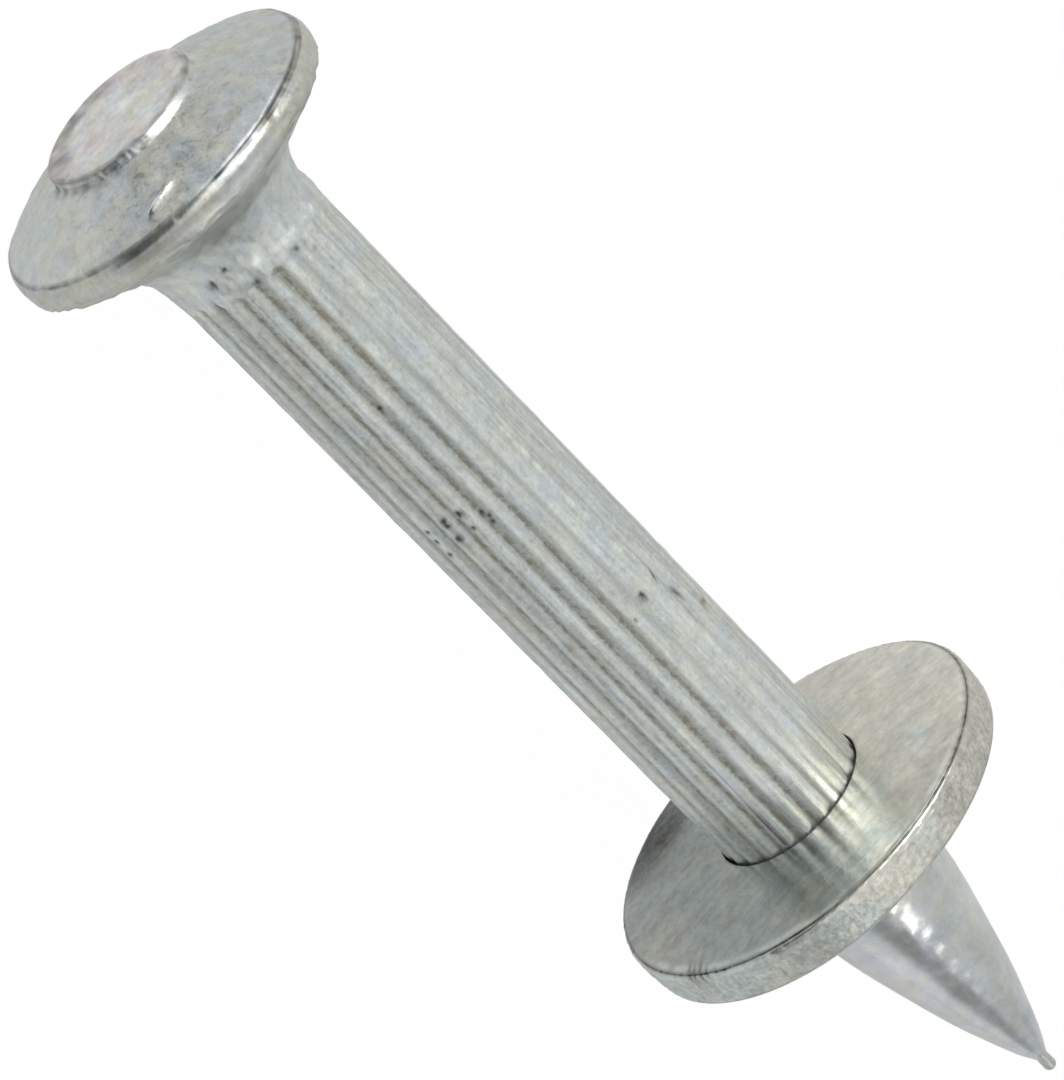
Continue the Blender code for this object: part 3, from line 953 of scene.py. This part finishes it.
class ANCHOR_OT_washer(bpy.types.Operator):
    """Makes the round washer that is pressed onto the shank"""

    bl_idname = "anchor.washer"
    bl_label = "Washer"

    def execute(self, context):
        washer = context.scene.anchor_washer
        section = washer_section(washer)
        skin = Turned(section, 480, closed=True)
        masks = shape_washer(skin, washer)
        piece = skin.make("round_washer", masks)
        piece.data.materials.append(washer_zinc(context.scene.anchor_zinc))
        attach(piece, "root")
        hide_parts(WASHER)
        return {"FINISHED"}


def direction(along, turn):
    """Unit vector with a share along the axis, the rest square to it at an angle in degrees."""
    away = math.sqrt(1 - along**2)
    angle = math.radians(turn)
    return along * AXIS + away * (math.cos(angle) * NEAR + math.sin(angle) * SIDE)


def lamp(name, toward, distance, size, power, colour=(1, 1, 1)):
    """Square softbox that faces the middle of the anchor from a direction."""
    data = bpy.data.lights.new(name, "AREA")
    data.shape = "RECTANGLE"
    data.size, data.size_y = size
    data.energy = power
    data.color = colour
    thing = bpy.data.objects.new(name, data)
    middle = Vector(CROWN + 0.5 * PIN_LENGTH * AXIS)
    thing.location = middle + distance * Vector(toward)
    thing.rotation_mode = "QUATERNION"
    thing.rotation_quaternion = Vector(toward).to_track_quat("Z", "Y")
    bpy.context.scene.collection.objects.link(thing)


def floor_paint():
    """Pale floor: dull white that keeps its shadows, lifted toward white where it is looked at, and, as
    metal sees it, lifted more toward +Y, a painted pool of light.
    """
    material = bpy.data.materials.new("pale_floor")
    shader = Shader(material)
    dull = shader.node("ShaderNodeBsdfDiffuse", None, {"Color": (0.74, 0.74, 0.74, 1)})
    white = shader.node("ShaderNodeEmission", None, {"Color": (1, 1, 1, 1), "Strength": 1})
    rays = ("Is Camera Ray", "Is Glossy Ray", "Is Transmission Ray")
    seen, glossy, through = (shader.node("ShaderNodeLightPath", out=ray) for ray in rays)
    here = shader.node("ShaderNodeTexCoord", out="Object")
    # A painted pool of light: in reflections the floor is lighter toward +Y
    right = shader.ramp(shader.along(here, -SIDE), -4 * MM, 9 * MM)
    lift = 0.985 * seen + (0.21 + 0.07 * right) * (glossy + through)
    surface = shader.node("ShaderNodeMixShader", None, {0: lift, 1: dull, 2: white})
    shader.node("ShaderNodeOutputMaterial", None, {"Surface": surface})
    return material


def studio_world(world):
    """White to the camera; to the anchor, a soft grey room with a dark gap between two lights."""
    shader = Shader(world)
    along, ramp = shader.along, shader.ramp
    way = shader.node("ShaderNodeTexCoord", out="Generated")
    gap_centre = math.radians(42)
    toward_gap = math.cos(gap_centre) * NEAR + math.sin(gap_centre) * SIDE
    across_gap = -math.sin(gap_centre) * NEAR + math.cos(gap_centre) * SIDE
    lengthwise = along(way, AXIS)
    off = along(way, across_gap) - 0.12
    off = off + 0.08 * ramp(lengthwise, 0.05, 0.35) + 0.12 * ramp(lengthwise, 0.52, 0.66)
    off = off.maths("ABSOLUTE", off)
    gap = (1 - ramp(off, 0.08, 0.38)) * ramp(along(way, toward_gap), 0.05, 0.4)
    headward = ramp(lengthwise, 0.2, -0.5)
    square_on = ramp(lengthwise, 0.05, 0.3) * ramp(lengthwise, 0.72, 0.5)
    right = ramp(along(way, SIDE), 0.1, -0.6)
    tipward = ramp(lengthwise, 0.46, 0.62)
    beyond = ramp(lengthwise, 0.74, 0.9)
    right_low = ramp(along(way, SIDE), 0.08, -0.2)
    level = 0.78 + 0.05 * right - 0.15 * right_low * tipward - 0.06 * beyond
    level = level - gap * (0.44 + 0.24 * headward) * (1 - 0.15 * square_on) * (1 - 0.25 * beyond)
    seen = shader.node("ShaderNodeLightPath", out="Is Camera Ray")
    room = shader.node("ShaderNodeBackground", None, {"Color": (0.985, 1, 1, 1), "Strength": level})
    white = shader.node("ShaderNodeBackground", None, {"Color": (1, 1, 1, 1), "Strength": 1})
    surface = shader.node("ShaderNodeMixShader", None, {0: seen, 1: room, 2: white})
    shader.node("ShaderNodeOutputWorld", None, {"Surface": surface})


def camera(stage):
    """Camera whose picture shows the axis falling at the view turn and leaning by the tilt."""
    turn, tilt = stage.view_turn, stage.view_tilt
    axis_seen = np.array((math.cos(tilt) * math.cos(turn), math.cos(tilt) * math.sin(turn), math.sin(tilt)))
    side_seen = np.array((-math.sin(turn), math.cos(turn), 0))
    near_seen = np.array(
        (math.sin(tilt) * math.cos(turn), math.sin(tilt) * math.sin(turn), -math.cos(tilt))
    )
    to_world = np.outer(AXIS, axis_seen) + np.outer(SIDE, side_seen) + np.outer(NEAR, near_seen)
    # This place on the axis is seen so far to the right of the picture's middle and below it
    aim = CROWN + 27.45 * MM * AXIS
    aim_seen = np.array((6.983 * MM, 7.064 * MM, stage.distance))
    right, down, ahead = to_world.T
    data = bpy.data.cameras.new("camera")
    data.lens = stage.lens
    data.sensor_width = 36
    data.clip_start = 0.01
    data.clip_end = 10
    thing = bpy.data.objects.new("camera", data)
    pose = Matrix.Identity(4)
    for column, vector in enumerate((right, -down, -ahead, aim - to_world @ aim_seen)):
        for row in range(3):
            pose[row][column] = vector[row]
    thing.matrix_world = pose
    bpy.context.scene.collection.objects.link(thing)
    bpy.context.scene.camera = thing


class ANCHOR_OT_stage(bpy.types.Operator):
    """Makes the pale floor, the room light, the lamps and the camera"""

    bl_idname = "anchor.stage"
    bl_label = "Stage"

    def execute(self, context):
        scene = context.scene
        stage = scene.anchor_stage
        scene.view_settings.view_transform = "Standard"
        if stage.with_floor:
            half = stage.floor_half
            share = np.linspace(-half, half, 9)
            x, y = np.meshgrid(share, share)
            corners = np.stack((x, y, np.zeros_like(x)), -1).reshape(-1, 3)
            index = np.arange(81).reshape(9, 9)
            faces = np.stack((index[:-1, :-1], index[:-1, 1:], index[1:, 1:], index[1:, :-1]), -1)
            mesh = bpy.data.meshes.new("floor")
            mesh.from_pydata(corners.tolist(), [], faces.reshape(-1, 4).tolist())
            mesh.materials.append(floor_paint())
            floor = bpy.data.objects.new("floor", mesh)
            scene.collection.objects.link(floor)
        world = bpy.data.worlds.new("studio")
        scene.world = world
        studio_world(world)
        lamp("key_softbox", direction(-0.7, -47), 0.35, (0.28, 0.28), 0.52)
        lamp("warm_panel", direction(-0.41, -43), 0.35, (0.06, 0.07), 0.045, (1, 0.82, 0.56))
        lamp("small_lamp", direction(0.7, -3), 0.35, (0.11, 0.04), 0.024, (1, 0.98, 0.94))
        camera(stage)
        return {"FINISHED"}


class ANCHOR_PT_parts(bpy.types.Panel):
    """Lists the parts of the anchor and their settings"""

    bl_idname = "ANCHOR_PT_parts"
    bl_label = "Hammer drive anchor"
    bl_space_type = "VIEW_3D"
    bl_region_type = "UI"
    bl_category = "Anchor"

    def draw(self, context):
        layout = self.layout
        scene = context.scene
        for operator, settings in (
            (ANCHOR_OT_drive_pin, scene.anchor_pin),
            (ANCHOR_OT_washer, scene.anchor_washer),
            (None, scene.anchor_zinc),
            (ANCHOR_OT_stage, scene.anchor_stage),
        ):
            box = layout.box()
            if operator:
                box.operator(operator.bl_idname)
            for name in settings.__annotations__:
                box.prop(settings, name)


SETTINGS = {
    "anchor_pin": AnchorPinSettings,
    "anchor_washer": AnchorWasherSettings,
    "anchor_zinc": AnchorZincSettings,
    "anchor_stage": AnchorStageSettings,
}
BUTTONS = (ANCHOR_OT_drive_pin, ANCHOR_OT_washer, ANCHOR_OT_stage, ANCHOR_PT_parts)


def register():
    """Adds the settings, the operators and the panel."""
    for name, group in SETTINGS.items():
        bpy.utils.register_class(group)
        setattr(bpy.types.Scene, name, PointerProperty(type=group))
    for button in BUTTONS:
        bpy.utils.register_class(button)


def unregister():
    """Takes them away again."""
    for button in reversed(BUTTONS):
        bpy.utils.unregister_class(button)
    for name, group in reversed(SETTINGS.items()):
        delattr(bpy.types.Scene, name)
        bpy.utils.unregister_class(group)


def main():
    """Makes the whole scene."""
    register()
    bpy.ops.anchor.drive_pin()
    bpy.ops.anchor.washer()
    bpy.ops.anchor.stage()


if __name__ == "__main__":
    main()
